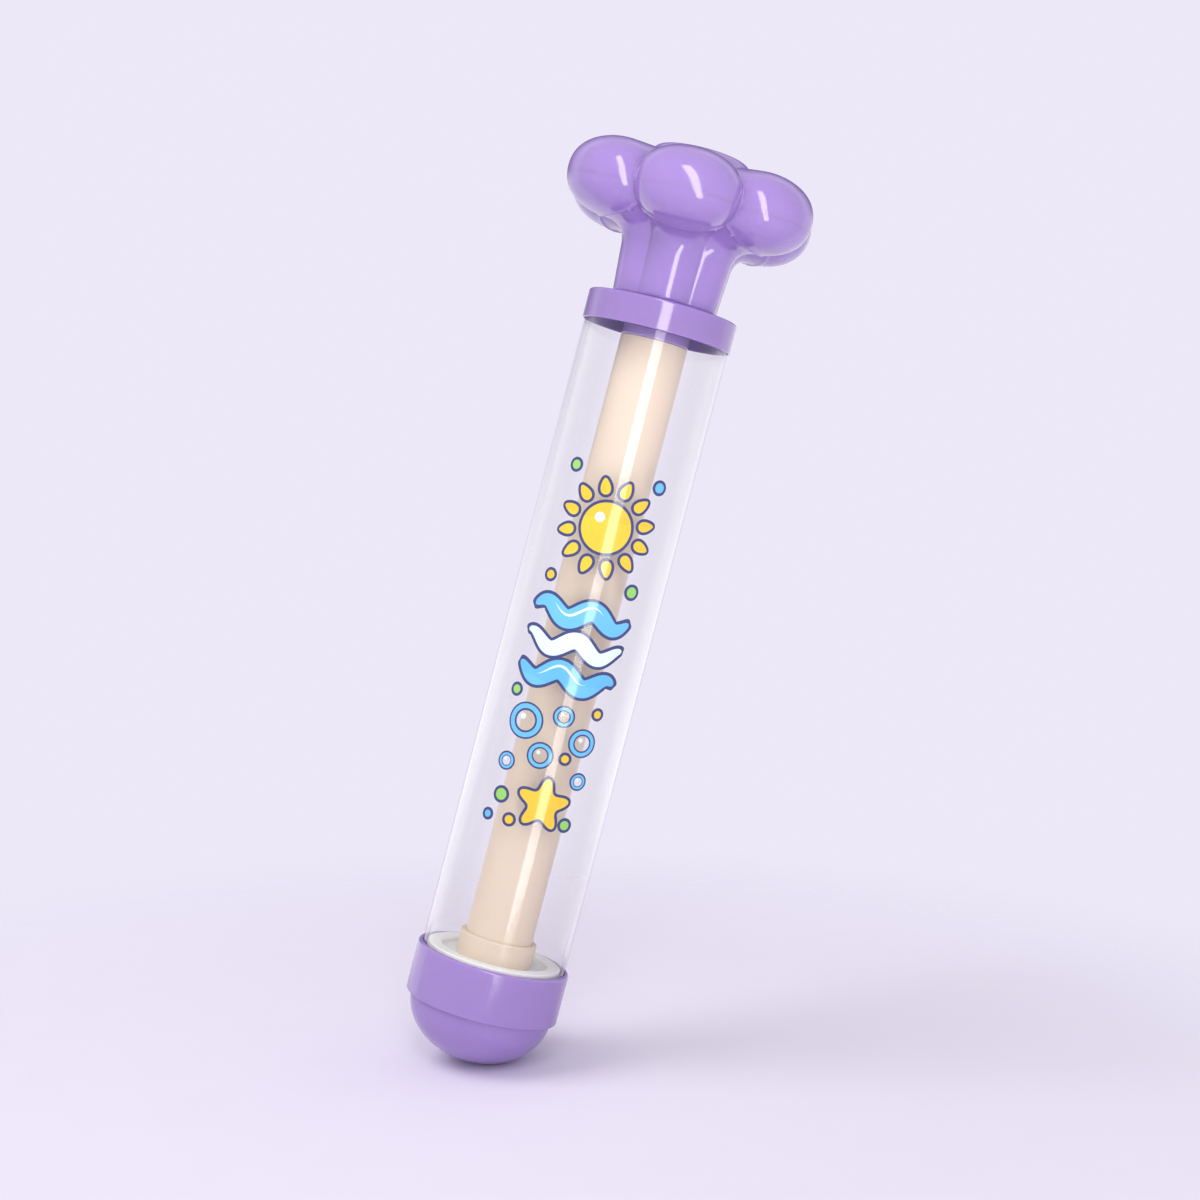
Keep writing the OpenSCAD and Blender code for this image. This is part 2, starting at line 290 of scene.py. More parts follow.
def clearPlastic(f):
    made, w = startMaterial("clear_tube")
    spot = w.place()
    draw = spot.stretched(f["drawScale"]).noise(1, 3)   # extrusion lines
    scuff = spot.stretched(f["scuffScale"]).noise(1, 5).ease(f["scuffStart"], f["scuffFull"])
    wave = spot.stretched(f["waveScale"]).noise(1)
    facing = w.node("ShaderNodeLayerWeight", {}, {"Blend": 0.5}, "Facing")
    x, y = spot.split()[:2]
    outside = ((x * x + y * y) ** 0.5).ease(f["boreR"], f["outerR"])
    shares = outside * (1 - f["boreShare"]) + f["boreShare"]        # the bore shines less
    sheen = facing ** f["edgePower"] * f["edge"] + f["haze"]
    sheen = sheen + scuff * f["scuffHaze"] + draw.swing(f["drawHaze"])
    front, side, rim = [w.node("ShaderNodeBsdfTransparent", {}, {"Color": f[key]})
                        for key in ("tint", "side", "rim")]
    through = facing.ease(f["sideFrom"], f["sideFull"]).mixed(front, side)
    shine = w.plastic({
        "Base Color": f["shine"], "Metallic": f["mirror"], "Roughness": f["gloss"] + scuff * f["scuffRough"],
        "Normal": draw.shared(wave, f["waveShare"]).relief(f["relief"], f["reliefDeep"])})
    wall = (sheen * shares).mixed(through, shine)
    outline = facing.ease(f["rimFrom"], f["rimFull"]) * outside     # a thin grey line, painted shade at the outline
    endMaterial(w, outline.mixed(wall, rim))
    return made


inkColours = {"navy": ((0.020, 0.030, 0.130, 1), (0.034, 0.052, 0.190, 1)),
              "blue": ((0.075, 0.385, 0.760, 1), (0.155, 0.520, 0.860, 1)),
              "pale": ((0.560, 0.780, 0.900, 1), (0.760, 0.900, 0.960, 1)),
              "yellow": ((0.770, 0.430, 0.016, 1), (0.830, 0.580, 0.032, 1)),
              "green": ((0.200, 0.520, 0.085, 1), (0.330, 0.640, 0.140, 1))}
inkFinish = {"gloss": 0.10, "index": 1.65, "screenScale": 1500, "screenRough": 0.08, "poolScale": 130,
             "bandsPerMetre": 46, "bandScale": 60, "bandWander": 0.5,
             "poolShare": 0.55, "bandShare": 0.25, "screenShare": 0.2, "relief": 0.05, "reliefDeep": 0.00004}


def printInk(name, tones, f):
    made, w = startMaterial("ink_" + name)
    spot = w.place()
    screen = spot.noise(f["screenScale"])               # mesh of the printing screen
    pool = spot.noise(f["poolScale"], 3)                # ink that lies thicker in places
    rise = spot.split()[2] * f["bandsPerMetre"] + spot.noise(f["bandScale"]) * f["bandWander"]
    band = rise.maths("FRACT", rise)
    tone = pool * f["poolShare"] + band * f["bandShare"] + screen * f["screenShare"]
    endMaterial(w, w.plastic({
        "Base Color": tone.blend(*tones), "IOR": f["index"],
        "Roughness": f["gloss"] + screen.swing(f["screenRough"]),
        "Normal": screen.relief(f["relief"], f["reliefDeep"])}))
    return made


finishes = {"purple_plastic": purplePlastic(purpleFinish), "cream_plastic": creamPlastic(creamFinish),
            "white_plastic": whitePlastic(whiteFinish), "seal_rubber": sealRubber(rubberFinish),
            "screw_steel": screwSteel(steelFinish), "clear_tube": clearPlastic(clearFinish)}
inks = {name: printInk(name, tones, inkFinish) for name, tones in inkColours.items()}
print("finishes made:", len(finishes) + len(inks))


# Mesh helpers
def makePiece(name, points, faces, body, material, node=None, sharp=35.0, merge=None):
    mesh = bpy.data.meshes.new(name)
    mesh.from_pydata([tuple(p) for p in points], [], [tuple(f) for f in faces])
    made = bmesh.new()
    made.from_mesh(mesh)
    if merge:
        bmesh.ops.remove_doubles(made, verts=made.verts, dist=merge)
        bmesh.ops.dissolve_degenerate(made, edges=made.edges, dist=merge)
    bmesh.ops.recalc_face_normals(made, faces=made.faces)
    made.to_mesh(mesh)
    made.free()
    mesh.polygons.foreach_set("use_smooth", [True] * len(mesh.polygons))
    mesh.set_sharp_from_angle(angle=math.radians(sharp))
    piece = bpy.data.objects.new(name, mesh)
    scene.collection.objects.link(piece)
    mesh.materials.append(material)
    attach(piece, body)
    if node:
        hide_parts(node)
    return piece


filletLay = {"steps": 6, "room": 0.42, "support": 1.18}


def roundCorners(corners, lay=filletLay):
    # (r, z, fillet) corners of a closed outline become short arcs with a support point on each side
    out = []
    for i, (r, z, fillet) in enumerate(corners):
        here = Vector((r, z))
        if fillet <= 0:
            out.append((r, z))
            continue
        before = Vector(corners[i - 1][:2]) - here
        after = Vector(corners[(i + 1) % len(corners)][:2]) - here
        room = lay["room"] * min(before.length, after.length)
        before.normalize()
        after.normalize()
        half = before.angle(after) / 2
        cut = min(fillet / math.tan(half), room)
        radius = cut * math.tan(half)
        centre = here + (before + after).normalized() * (radius / math.sin(half))
        start, end = here + before * cut - centre, here + after * cut - centre
        turn = math.atan2(start.x * end.y - start.y * end.x, start.dot(end))
        out.append(tuple(here + before * cut * lay["support"]))
        for k in range(lay["steps"] + 1):
            a = turn * k / lay["steps"]
            out.append((centre.x + start.x * math.cos(a) - start.y * math.sin(a),
                        centre.y + start.x * math.sin(a) + start.y * math.cos(a)))
        out.append(tuple(here + after * cut * lay["support"]))
    return out


def turned(corners, around):
    # a closed outline in (r, z, fillet) millimetres turned about the axis into a ring
    ring = np.array(roundCorners(corners))
    angles = np.linspace(0, 2 * math.pi, around, endpoint=False)
    points = np.stack([ring[:, None, 0] * np.cos(angles), ring[:, None, 0] * np.sin(angles),
                       np.repeat(ring[:, 1:2], around, 1)], 2).reshape(-1, 3) * mm
    n = len(ring)
    faces = [(i * around + j, i * around + (j + 1) % around,
              (i + 1) % n * around + (j + 1) % around, (i + 1) % n * around + j)
             for i in range(n) for j in range(around)]
    return points, faces


def between(low, high, count):
    # heights that part a long wall into even rows
    return [low + (high - low) * k / count for k in range(1, count)]


def ellipse(r, high, middle, start, end, steps):
    # points of a dome's section from one radius to another, along its lower half
    first, last = math.asin(start / r), math.asin(end / r)
    turnAt = [first + (last - first) * k / steps for k in range(steps + 1)]
    return [(r * math.sin(a), middle - high * math.cos(a), 0) for a in turnAt]


# Clear tube
tubeForm = {"outer": 19.2, "inner": 18.0, "low": 16.6, "high": 201.4, "edge": 0.18, "rows": 24, "around": 192}


def makeTube(t):
    outline = [(t["inner"], t["high"], t["edge"]), (t["inner"], t["low"], t["edge"]),
               (t["outer"], t["low"], t["edge"])]
    outline += [(t["outer"], z, 0) for z in between(t["low"], t["high"], t["rows"])]
    outline += [(t["outer"], t["high"], t["edge"])]
    points, faces = turned(outline, t["around"])
    makePiece("tube_clear", points, faces, "barrel", finishes["clear_tube"], "barrel_tube")


makeTube(tubeForm)
print("tube made")

# Nozzle cap: dome with its hole, a step, a straight skirt and a lip that leans in to the tube
capForm = {"domeR": 18.9, "domeH": 14.8, "wall": 2.3, "stepEdge": 0.12, "skirtR": 20.35, "skirtEdge": 0.7,
           "skirtRow": 2.0, "lipLow": 27.7, "lipR": 19.635, "lipTurn": 80, "lipSteps": 12, "lipIn": 0.02,
           "rim": 28.3, "rimEdge": 0.08, "socketR": 19.25, "seat": 15.6, "seatEdge": 0.2, "hole": 1.8,
           "holeLen": 6.0, "holeEdge": 0.3, "boss": 4.5, "bossEdge": 0.4, "mouthWide": 0.25, "mouthZ": 0.45,
           "mouthBend": 0.08, "mouthBendZ": 0.22, "domeSteps": 40, "innerSteps": 20, "around": 192}


def makeCap(c):
    inR, inH = c["domeR"] - c["wall"], c["domeH"] - c["wall"]
    outline = ellipse(c["domeR"], c["domeH"], c["domeH"], c["hole"] + c["mouthWide"], c["domeR"],
                      c["domeSteps"])[:-1]
    outline += [(c["domeR"], c["domeH"], c["stepEdge"]), (c["skirtR"], c["domeH"], c["skirtEdge"]),
                (c["skirtR"], c["domeH"] + c["skirtRow"], 0)]
    for k in range(c["lipSteps"] + 1):
        a = math.radians(c["lipTurn"]) * k / c["lipSteps"]
        outline.append((c["lipR"] + (c["skirtR"] - c["lipR"]) * math.cos(a),
                        c["lipLow"] + (c["rim"] - c["lipLow"]) * math.sin(a), 0))
    outline += [(c["lipR"] - c["lipIn"], c["rim"], 0), (c["socketR"], c["rim"], c["rimEdge"]),
                (c["socketR"], c["seat"], c["seatEdge"]), (inR, c["seat"], c["seatEdge"])]
    outline += ellipse(inR, inH, c["domeH"], c["boss"], inR, c["innerSteps"])[::-1]
    outline += [(c["boss"], c["holeLen"], c["bossEdge"]), (c["hole"], c["holeLen"], c["holeEdge"]),
                (c["hole"], c["mouthZ"], 0), (c["hole"] + c["mouthBend"], c["mouthBendZ"], 0)]
    points, faces = turned(outline, c["around"])
    makePiece("cap_domed", points, faces, "barrel", finishes["purple_plastic"], "nozzle_cap")


makeCap(capForm)

# Guide collar: a sleeve outside the tube, a ring inside it and a plate with the rod's hole
collarForm = {"outer": 19.75, "outerLowEdge": 0.2, "outerTopEdge": 0.55, "low": 195.9, "high": 203.6,
              "plate": 201.4, "plateEdge": 0.3, "socketR": 19.25, "socketEdge": 0.1, "ringOut": 17.95,
              "ringIn": 16.55, "ringEdge": 0.3, "ringRoot": 0.4, "hole": 9.1, "holeEdge": 0.35, "around": 192}
# The collar's tones are darker than the other purple plastic: painted shade on the same plastic under the
# same lamps.
collarShadedFinish = {**purpleFinish, "deep": (0.243, 0.152, 0.412, 1), "pale": (0.282, 0.180, 0.460, 1),
                # the bore's deep and pale are painted shade: the collar's inside drawn dark and matt
                "bore": {"r": collarForm["socketR"] * mm, "edge": 0.0002,
                         "top": (collarForm["high"] - 0.4) * mm, "fade": 0.0006,
                         "deep": (0.105, 0.054, 0.270, 1), "pale": (0.132, 0.070, 0.315, 1),
                         "rough": 0.8, "fleckRough": 0.1}}


def makeCollar(c):
    outline = [(c["hole"], c["high"], c["holeEdge"]), (c["hole"], c["plate"], c["plateEdge"]),
               (c["ringIn"], c["plate"], c["ringRoot"]), (c["ringIn"], c["low"], c["ringEdge"]),
               (c["ringOut"], c["low"], c["ringEdge"]), (c["ringOut"], c["plate"], c["socketEdge"]),
               (c["socketR"], c["plate"], c["socketEdge"]), (c["socketR"], c["low"], c["socketEdge"]),
               (c["outer"], c["low"], c["outerLowEdge"]), (c["outer"], c["high"], c["outerTopEdge"])]
    points, faces = turned(outline, c["around"])
    plastic = purplePlastic(collarShadedFinish, "purple_plastic_collar_shaded")
    makePiece("collar_guide", points, faces, "barrel", plastic, "guide_collar")


makeCollar(collarForm)
print("cap and collar made")

# Push rod
rodForm = {"outer": 8.9, "inner": 7.4, "low": 30.5, "high": 194.3, "edge": 0.25, "rows": 24, "around": 128}


def makeRod(r):
    outline = [(r["inner"], r["high"], r["edge"]), (r["inner"], r["low"], r["edge"]),
               (r["outer"], r["low"], r["edge"])]
    outline += [(r["outer"], z, 0) for z in between(r["low"], r["high"], r["rows"])]
    outline += [(r["outer"], r["high"], r["edge"])]
    points, faces = turned(outline, r["around"])
    makePiece("rod_tube", points, faces, "plunger", finishes["cream_plastic"], "push_rod")


makeRod(rodForm)

# Foot: a cup round the rod's end, with a plug that goes up into it
footForm = {"low": 27.5, "lowEdge": 0.25, "high": 33.7, "outer": 10.25, "edge": 1.1, "socketR": 8.95,
            "socketZ": 30.5, "innerEdge": 0.1, "plugR": 7.35, "plugTop": 40.5, "plugEdge": 0.5,
            "hole": 2.05, "holeEdge": 0.2, "around": 128}


def makeFoot(f):
    outline = [(f["hole"], f["plugTop"], f["holeEdge"]), (f["hole"], f["low"], f["innerEdge"]),
               (f["outer"], f["low"], f["lowEdge"]), (f["outer"], f["high"], f["edge"]),
               (f["socketR"], f["high"], f["innerEdge"]), (f["socketR"], f["socketZ"], f["innerEdge"]),
               (f["plugR"], f["socketZ"], f["innerEdge"]), (f["plugR"], f["plugTop"], f["plugEdge"])]
    points, faces = turned(outline, f["around"])
    makePiece("rod_foot_cup", points, faces, "plunger", finishes["cream_plastic"], "rod_foot")


makeFoot(footForm)

# Piston: a disc with a recess in its top, the ring's groove and the screw's pocket below
pistonForm = {"low": 18.5, "lowEdge": 0.6, "high": 28.85, "highEdge": 0.45, "outer": 17.85, "recessR": 14.2,
              "recessZ": 27.5, "recessEdge": 0.4, "recessRoot": 0.3, "grooveR": 15.4, "grooveLow": 22.05,
              "grooveHigh": 24.95, "grooveEdge": 0.3, "grooveRoot": 0.2, "pocketR": 5.9, "pocketZ": 22.1,
              "pocketEdge": 0.3, "pocketRoot": 0.2, "hole": 2.05, "holeEdge": 0.1, "around": 160}


def makePiston(p):
    outline = [(p["hole"], p["recessZ"], p["holeEdge"]), (p["hole"], p["pocketZ"], p["holeEdge"]),
               (p["pocketR"], p["pocketZ"], p["pocketRoot"]), (p["pocketR"], p["low"], p["pocketEdge"]),
               (p["outer"], p["low"], p["lowEdge"]), (p["outer"], p["grooveLow"], p["grooveEdge"]),
               (p["grooveR"], p["grooveLow"], p["grooveRoot"]),
               (p["grooveR"], p["grooveHigh"], p["grooveRoot"]),
               (p["outer"], p["grooveHigh"], p["grooveEdge"]), (p["outer"], p["high"], p["highEdge"]),
               (p["recessR"], p["high"], p["recessEdge"]), (p["recessR"], p["recessZ"], p["recessRoot"])]
    points, faces = turned(outline, p["around"])
    makePiece("piston_disc", points, faces, "plunger", finishes["white_plastic"], "piston")


makePiston(pistonForm)
print("rod, foot and piston made")

# Handle: six columns that each bend out into a fat lobe, with a low button in the middle of the top
handleForm = {"lobes": 6, "firstLobe": -90.0, "ringR": 21.2, "lobeHigh": 10.2, "lobeWide": 13.75,
              "lobeDeep": 13.2, "lobeZ": 231.6, "squareness": 2.2, "runIn": 9.0, "columnR": 8.25,
              "columnRing": 6.2, "lean": 4.5, "neckZ": 203.9, "neckEdge": 1.0, "elbow": 6.0, "crease": 0.2,
              "flareR": 12.3, "flareZ": 216.2, "flareCurve": 10.0, "flareOver": 1.0, "flareBlend": 1.6,
              "seamZ": 229.6, "deckR": 22.0, "deckZ": 235.6, "deckBlend": 0.8, "buttonR": 13.5,
              "buttonZ": 245.4, "buttonCurve": 49.0, "buttonEdge": 3.0, "buttonBlend": 1.0,
              "stemR": 8.9, "stemZ": 194.3, "stemEdge": 0.35, "spigotR": 7.35, "spigotZ": 179.3,
              "spigotEdge": 0.6, "rootEdge": 0.1, "sharp": 50,
              "columns": 28, "crowd": 1.7, "step": 0.2, "mostSteps": 1400, "settles": 2, "probe": 0.01,
              "startR": 9.2, "axisR": 0.25, "seamFrom": 15, "lowerRows": 150, "upperRows": 120}
lobeTurn = 360 / handleForm["lobes"]


def softMin(a, b, k):
    near = np.maximum(k - np.abs(a - b), 0) / k
    return np.minimum(a, b) - near * near * k / 4


def handleDepth(h, turn, r, z):
    # about how far a point lies outside the handle, in millimetres, with turn measured from a lobe's middle
    x, y = r * np.cos(turn), r * np.sin(turn)
    reach = h["columnRing"] + (z - h["neckZ"]) * math.tan(math.radians(h["lean"]))
    whole = None
    for at in (-lobeTurn, 0, lobeTurn):
        ca, sa = math.cos(math.radians(at)), math.sin(math.radians(at))
        out, along = x * ca + y * sa, np.abs(y * ca - x * sa)
        inward = np.where(z > h["lobeZ"], np.clip(h["ringR"] - out, 0, h["runIn"]), 0)
        sides = (along / h["lobeWide"], np.abs(out + inward - h["ringR"]) / h["lobeDeep"],
                 np.abs(z - h["lobeZ"]) / h["lobeHigh"])
        lobe = sum(side ** h["squareness"] for side in sides) ** (1 / h["squareness"]) - 1
        column = np.maximum(np.hypot(out - reach, along) - h["columnR"], z - h["seamZ"])
        finger = softMin(column, lobe * h["lobeHigh"], h["elbow"])
        whole = finger if whole is None else softMin(whole, finger, h["crease"])
    flareTop = h["flareR"] + h["flareCurve"]
    hollow = h["flareCurve"] - np.hypot(flareTop - r, np.maximum(z - h["flareZ"], 0))
    flare = np.maximum(np.where(r < flareTop, hollow, r - flareTop),
                       np.maximum(h["flareZ"] - z, z - h["seamZ"] - h["flareOver"]))
    above = h["seamZ"] - z
    deck = np.maximum(np.maximum(r - h["deckR"], z - h["deckZ"]), above)
    dome = np.hypot(r, z - h["buttonZ"] + h["buttonCurve"]) - h["buttonCurve"]
    button = np.maximum(-softMin(-dome, h["buttonR"] - r, h["buttonEdge"]), above)
    for form, soft in ((flare, h["flareBlend"]), (deck, h["deckBlend"]), (button, h["buttonBlend"])):
        whole = softMin(whole, form, soft)
    return -softMin(-whole, z - h["neckZ"], h["neckEdge"])


def evenRows(line, count):
    run = np.concatenate([[0], np.cumsum(np.hypot(*np.diff(line, axis=0).T))])
    at = np.linspace(0, run[-1], count)
    return np.stack([np.interp(at, run, line[:, 0]), np.interp(at, run, line[:, 1])], 1)


def traceHandle(h):
    # follows the handle's section up the neck from its underside and round a lobe to the middle of the top
    u = np.linspace(0, 1, h["columns"])
    turn = math.radians(lobeTurn / 2) * (1 - (1 - u) ** h["crowd"])
    r, z = np.full_like(turn, h["startR"]), np.full_like(turn, h["neckZ"])
    path, eps = [np.stack([r, z], 1)], h["probe"]

    def slope(r, z):
        return ((handleDepth(h, turn, r + eps, z) - handleDepth(h, turn, r - eps, z)) / (2 * eps),
                (handleDepth(h, turn, r, z + eps) - handleDepth(h, turn, r, z - eps)) / (2 * eps))

    for k in range(h["mostSteps"]):
        gr, gz = slope(r, z)
        size = np.hypot(gr, gz)
        live = r > h["axisR"]
        r = r - np.where(live, h["step"] * gz / size, 0)
        z = z + np.where(live, h["step"] * gr / size, 0)
        for settle in range(h["settles"]):
            gr, gz = slope(r, z)
            off = handleDepth(h, turn, r, z) / (gr * gr + gz * gz)
            r, z = r - np.where(live, off * gr, 0), z - np.where(live, off * gz, 0)
        path.append(np.stack([r, z], 1))
        if not live.any():
            break
    path = np.stack(path, 1)
    lower, upper = [], []
    for line in path:
        last = int(np.argmax(line[:, 0] <= h["axisR"])) or len(line) - 1
        line = np.vstack([line[:last], [[0.0, line[last, 1]]]])
        cut = int(np.argmax((line[:, 1] > h["seamZ"]) & (line[:, 0] > h["seamFrom"])))
        share = (h["seamZ"] - line[cut - 1, 1]) / (line[cut, 1] - line[cut - 1, 1])
        seam = line[cut - 1] + (line[cut] - line[cut - 1]) * share
        lower.append(evenRows(np.vstack([line[:cut], seam]), h["lowerRows"]))
        upper.append(evenRows(np.vstack([seam, line[cut:]]), h["upperRows"]))
    print("handle traced in", k, "steps, ends at", float(path[0, -1, 1]))
    return turn, np.array(lower), np.array(upper)


def wrapRows(h, turn, rows):
    # one half-lobe of section lines goes round the axis; rows is (columns, points, 2)
    angles, lines = [], []
    for lobe in range(h["lobes"]):
        middle = math.radians(h["firstLobe"] + lobe * lobeTurn)
        for i in range(len(turn)):
            angles.append(middle + turn[i])
            lines.append(rows[i])
        for i in range(len(turn) - 2, 0, -1):
            angles.append(middle + math.radians(lobeTurn) - turn[i])
            lines.append(rows[i])
    return np.array(angles), np.array(lines)


def skin(angles, lines):
    # quads between section lines; the first and last point of every line lie on the axis
    around, count = lines.shape[:2]
    inner = lines[:, 1:-1]
    points = [(0, 0, lines[0, 0, 1] * mm), (0, 0, lines[0, -1, 1] * mm)]
    grid = np.stack([inner[..., 0] * np.cos(angles)[:, None], inner[..., 0] * np.sin(angles)[:, None],
                     inner[..., 1]], 2)
    points += [tuple(p) for p in (grid * mm).reshape(-1, 3)]
    n, faces = count - 2, []
    for j in range(around):
        a, b = 2 + j * n, 2 + (j + 1) % around * n
        faces.append((0, b, a))
        faces.append((1, a + n - 1, b + n - 1))
        faces += [(a + i, b + i, b + i + 1, a + i + 1) for i in range(n - 1)]
    return points, faces


def makeHandle(h):
    turn, lower, upper = traceHandle(h)
    stem = roundCorners([(0, h["spigotZ"], 0), (h["spigotR"], h["spigotZ"], h["spigotEdge"]),
                         (h["spigotR"], h["stemZ"], h["rootEdge"]), (h["stemR"], h["stemZ"], h["stemEdge"]),
                         (h["stemR"], h["neckZ"], h["rootEdge"]), (0, h["neckZ"], 0)])[:-1]
    stem = np.repeat(np.array(stem)[None], len(turn), 0)
    close = np.repeat(np.array([[0.0, h["seamZ"]]])[None], len(turn), 0)
    base = np.concatenate([stem, lower, close], 1)
    top = np.concatenate([close, upper], 1)
    for name, rows, node in (("handle_neck", base, "handle_base"), ("handle_crown", top, "handle_top")):
        points, faces = skin(*wrapRows(h, turn, rows))
        makePiece(name, points, faces, "plunger", finishes["purple_plastic"], node,
                  sharp=h["sharp"])


makeHandle(handleForm)
print("handle made")

# Print on the tube: a sun, waves, bubbles and a small star, each a thin skin of ink round the tube.
# Places are millimetres across and up the tube.
printLay = {"tubeR": 19.2, "shift": 1.0, "line": 0.75, "thick": 0.024,
            "low": {"under": 0.006, "over": 0.036, "light": 0.066}, "sharp": 60, "merge": 1e-8}
inkSheets = {name: {"points": [], "faces": []} for name in inkColours}


def addSheet(ink, level, grid, wraps, pole=False):
    # grid is (rows, columns, 2) of places across and up the tube
    store, (rows, cols) = inkSheets[ink], grid.shape[:2]
    base = len(store["points"])
    low = printLay["tubeR"] + printLay["low"][level]
    for r in (low + printLay["thick"], low):
        a = (grid[..., 0].ravel() + printLay["shift"]) / printLay["tubeR"]
        store["points"] += list(zip(r * mm * np.sin(a), -r * mm * np.cos(a), grid[..., 1].ravel() * mm))

    def at(i, j, layer):
        return base + layer * rows * cols + i * cols + j % cols

    ends = cols if wraps else cols - 1
    for i in range(rows - 1):
        for j in range(ends):
            quad = [(i, j), (i, j + 1), (i + 1, j + 1), (i + 1, j)]
            store["faces"].append([at(a, b, 0) for a, b in quad])
            store["faces"].append([at(a, b, 1) for a, b in quad[::-1]])
    for j in range(ends):
        for i in ([rows - 1] if pole else [0, rows - 1]):
            store["faces"].append([at(i, j, 0), at(i, j + 1, 0), at(i, j + 1, 1), at(i, j, 1)])
    if not wraps:
        for i in range(rows - 1):
            for j in (0, cols - 1):
                store["faces"].append([at(i, j, 0), at(i + 1, j, 0), at(i + 1, j, 1), at(i, j, 1)])


def unit(way):
    return way / np.hypot(way[:, 0], way[:, 1])[:, None]


def grown(edge, by):
    way = unit(np.roll(edge, -1, 0) - np.roll(edge, 1, 0))
    return edge + np.stack([way[:, 1], -way[:, 0]], 1) * by


def fill(ink, level, middle, edge, rings=7):
    middle = np.array(middle, float)
    shares = np.linspace(0, 1, rings + 1)[:, None, None]
    addSheet(ink, level, middle + (edge - middle) * shares, True, True)


def roundel(middle, radius, count, waves=0, depth=0.0, turn=0.0, second=0.18):
    # a circle, or a soft star where it has waves
    a = np.linspace(0, 2 * math.pi, count, endpoint=False)
    r = radius * (1 + depth * np.cos(waves * (a - turn)) + second * depth * np.cos(2 * waves * (a - turn)))
    return np.stack([middle[0] + r * np.cos(a), middle[1] + r * np.sin(a)], 1)


def outlined(ink, middle, edge):
    fill("navy", "under", middle, grown(edge, printLay["line"]))
    fill(ink, "over", middle, edge)


def glint(level, middle, radius, s):
    spot = (middle[0] + radius * s["glint"][0], middle[1] + radius * s["glint"][1])
    fill("pale", level, spot, roundel(spot, radius * s["glintR"], s["glintCount"]), rings=3)


def ribbon(ink, level, start, end, middle, half, count=70, across=6):
    t = np.linspace(0, 1, count)
    u = start + (end - start) * t
    v = np.array([middle(k) for k in u])
    w = np.array([half(k) for k in t])
    way = unit(np.stack([np.gradient(u), np.gradient(v)], 1))
    off = np.stack([-way[:, 1], way[:, 0]], 1)
    shifts = w[:, None] * np.linspace(-1, 1, across + 1)
    addSheet(ink, level, np.stack([u, v], 1)[:, None] + off[:, None] * shifts[..., None], False)


sunLay = {"middle": (0.4, 144.5), "disc": 6.4, "discCount": 72, "rays": 12, "rayIn": 8.4, "rayOut": 12.6,
          "rayHalf": 1.25, "rayTaper": 0.35, "rayCount": 40, "glint": (-0.34, 0.36), "glintR": 0.2,
          "glintCount": 32}


def printSun(s):
    middle = s["middle"]
    outlined("yellow", middle, roundel(middle, s["disc"], s["discCount"]))
    glint("light", middle, s["disc"], s)
    t = np.linspace(0, 2 * math.pi, s["rayCount"], endpoint=False)
    long = (s["rayOut"] - s["rayIn"]) / 2 * np.cos(t)
    wide = s["rayHalf"] * np.sin(t) * (1 - s["rayTaper"] * np.cos(t))
    for k in range(s["rays"]):
        a = 2 * math.pi * (k + 0.5) / s["rays"]
        centre = np.array(middle) + np.array([math.cos(a), math.sin(a)]) * (s["rayIn"] + s["rayOut"]) / 2
        outlined("yellow", centre, np.stack([centre[0] + long * math.cos(a) - wide * math.sin(a),
                                             centre[1] + long * math.sin(a) + wide * math.cos(a)], 1))


waveLay = {"waves": (("blue", 121.5, 0.2, 2.5), ("pale", 113.3, 1.3, 2.1), ("blue", 105.2, 2.4, 2.5)),
           "swell": 1.7, "turns": 0.50, "reach": 13.0, "lineReach": 13.6, "blunt": 0.1,
           "glintFrom": -7.5, "glintTo": 5.5, "glintUp": 0.38, "glintHalf": 0.34, "glintBlunt": 0.02}


def printWave(s, ink, height, phase, half):
    def line(u):
        return height + s["swell"] * math.sin(u * s["turns"] + phase)

    def taper(t):
        return half * (math.sin(math.pi * min(max(t, 0.0), 1.0)) ** 0.5 * (1 - s["blunt"]) + s["blunt"])

    def thin(t):
        return s["glintHalf"] * math.sin(math.pi * min(max(t, s["glintBlunt"]), 1 - s["glintBlunt"]))

    ribbon("navy", "under", -s["lineReach"], s["lineReach"], line, lambda t: taper(t) + printLay["line"])
    ribbon(ink, "over", -s["reach"], s["reach"], line, taper)
    ribbon("pale", "light", s["glintFrom"], s["glintTo"], lambda u: line(u) + half * s["glintUp"], thin)


bubbleLay = {"bubbles": (((-7.2, 92.2), 4.3), ((2.2, 95.6), 2.4), ((8.6, 90.0), 3.3), ((-1.2, 84.6), 3.0),
                         ((-9.6, 81.0), 2.0), ((10.2, 80.2), 1.9)),
             "line": 0.45, "lineIn": 0.60, "ringIn": 0.72, "glint": (-0.2, 0.22), "glintR": 0.17,
             "count": 48, "rows": 4, "glintCount": 24}


def printBubble(s, middle, radius):
    for ink, level, low, high in (("navy", "under", s["lineIn"], 1.0 + s["line"] / radius),
                                  ("blue", "over", s["ringIn"], 1.0)):
        shares = np.linspace(low, high, s["rows"])
        grid = np.stack([roundel(middle, radius * share, s["count"]) for share in shares])
        addSheet(ink, level, grid, True)
    glint("over", middle, radius, s)


starLay = {"middle": (2.6, 72.6), "radius": 5.0, "points": 5, "depth": 0.30, "count": 100}


def printStar(s):
    outlined("yellow", s["middle"], roundel(s["middle"], s["radius"], s["count"], s["points"], s["depth"],
                                            math.pi / 2))


dotLay = (("green", (-8.6, 72.4), 1.5), ("yellow", (-4.8, 66.8), 1.1), ("green", (9.6, 68.6), 1.2),
          ("yellow", (10.8, 98.0), 1.0), ("green", (-12.0, 99.2), 1.1), ("yellow", (5.2, 85.2), 1.0),
          ("green", (11.4, 130.2), 1.4), ("yellow", (-10.8, 129.6), 1.1), ("green", (-11.6, 158.2), 1.2),
          ("blue", (11.6, 157.6), 1.3), ("blue", (-11.0, 66.6), 0.9))


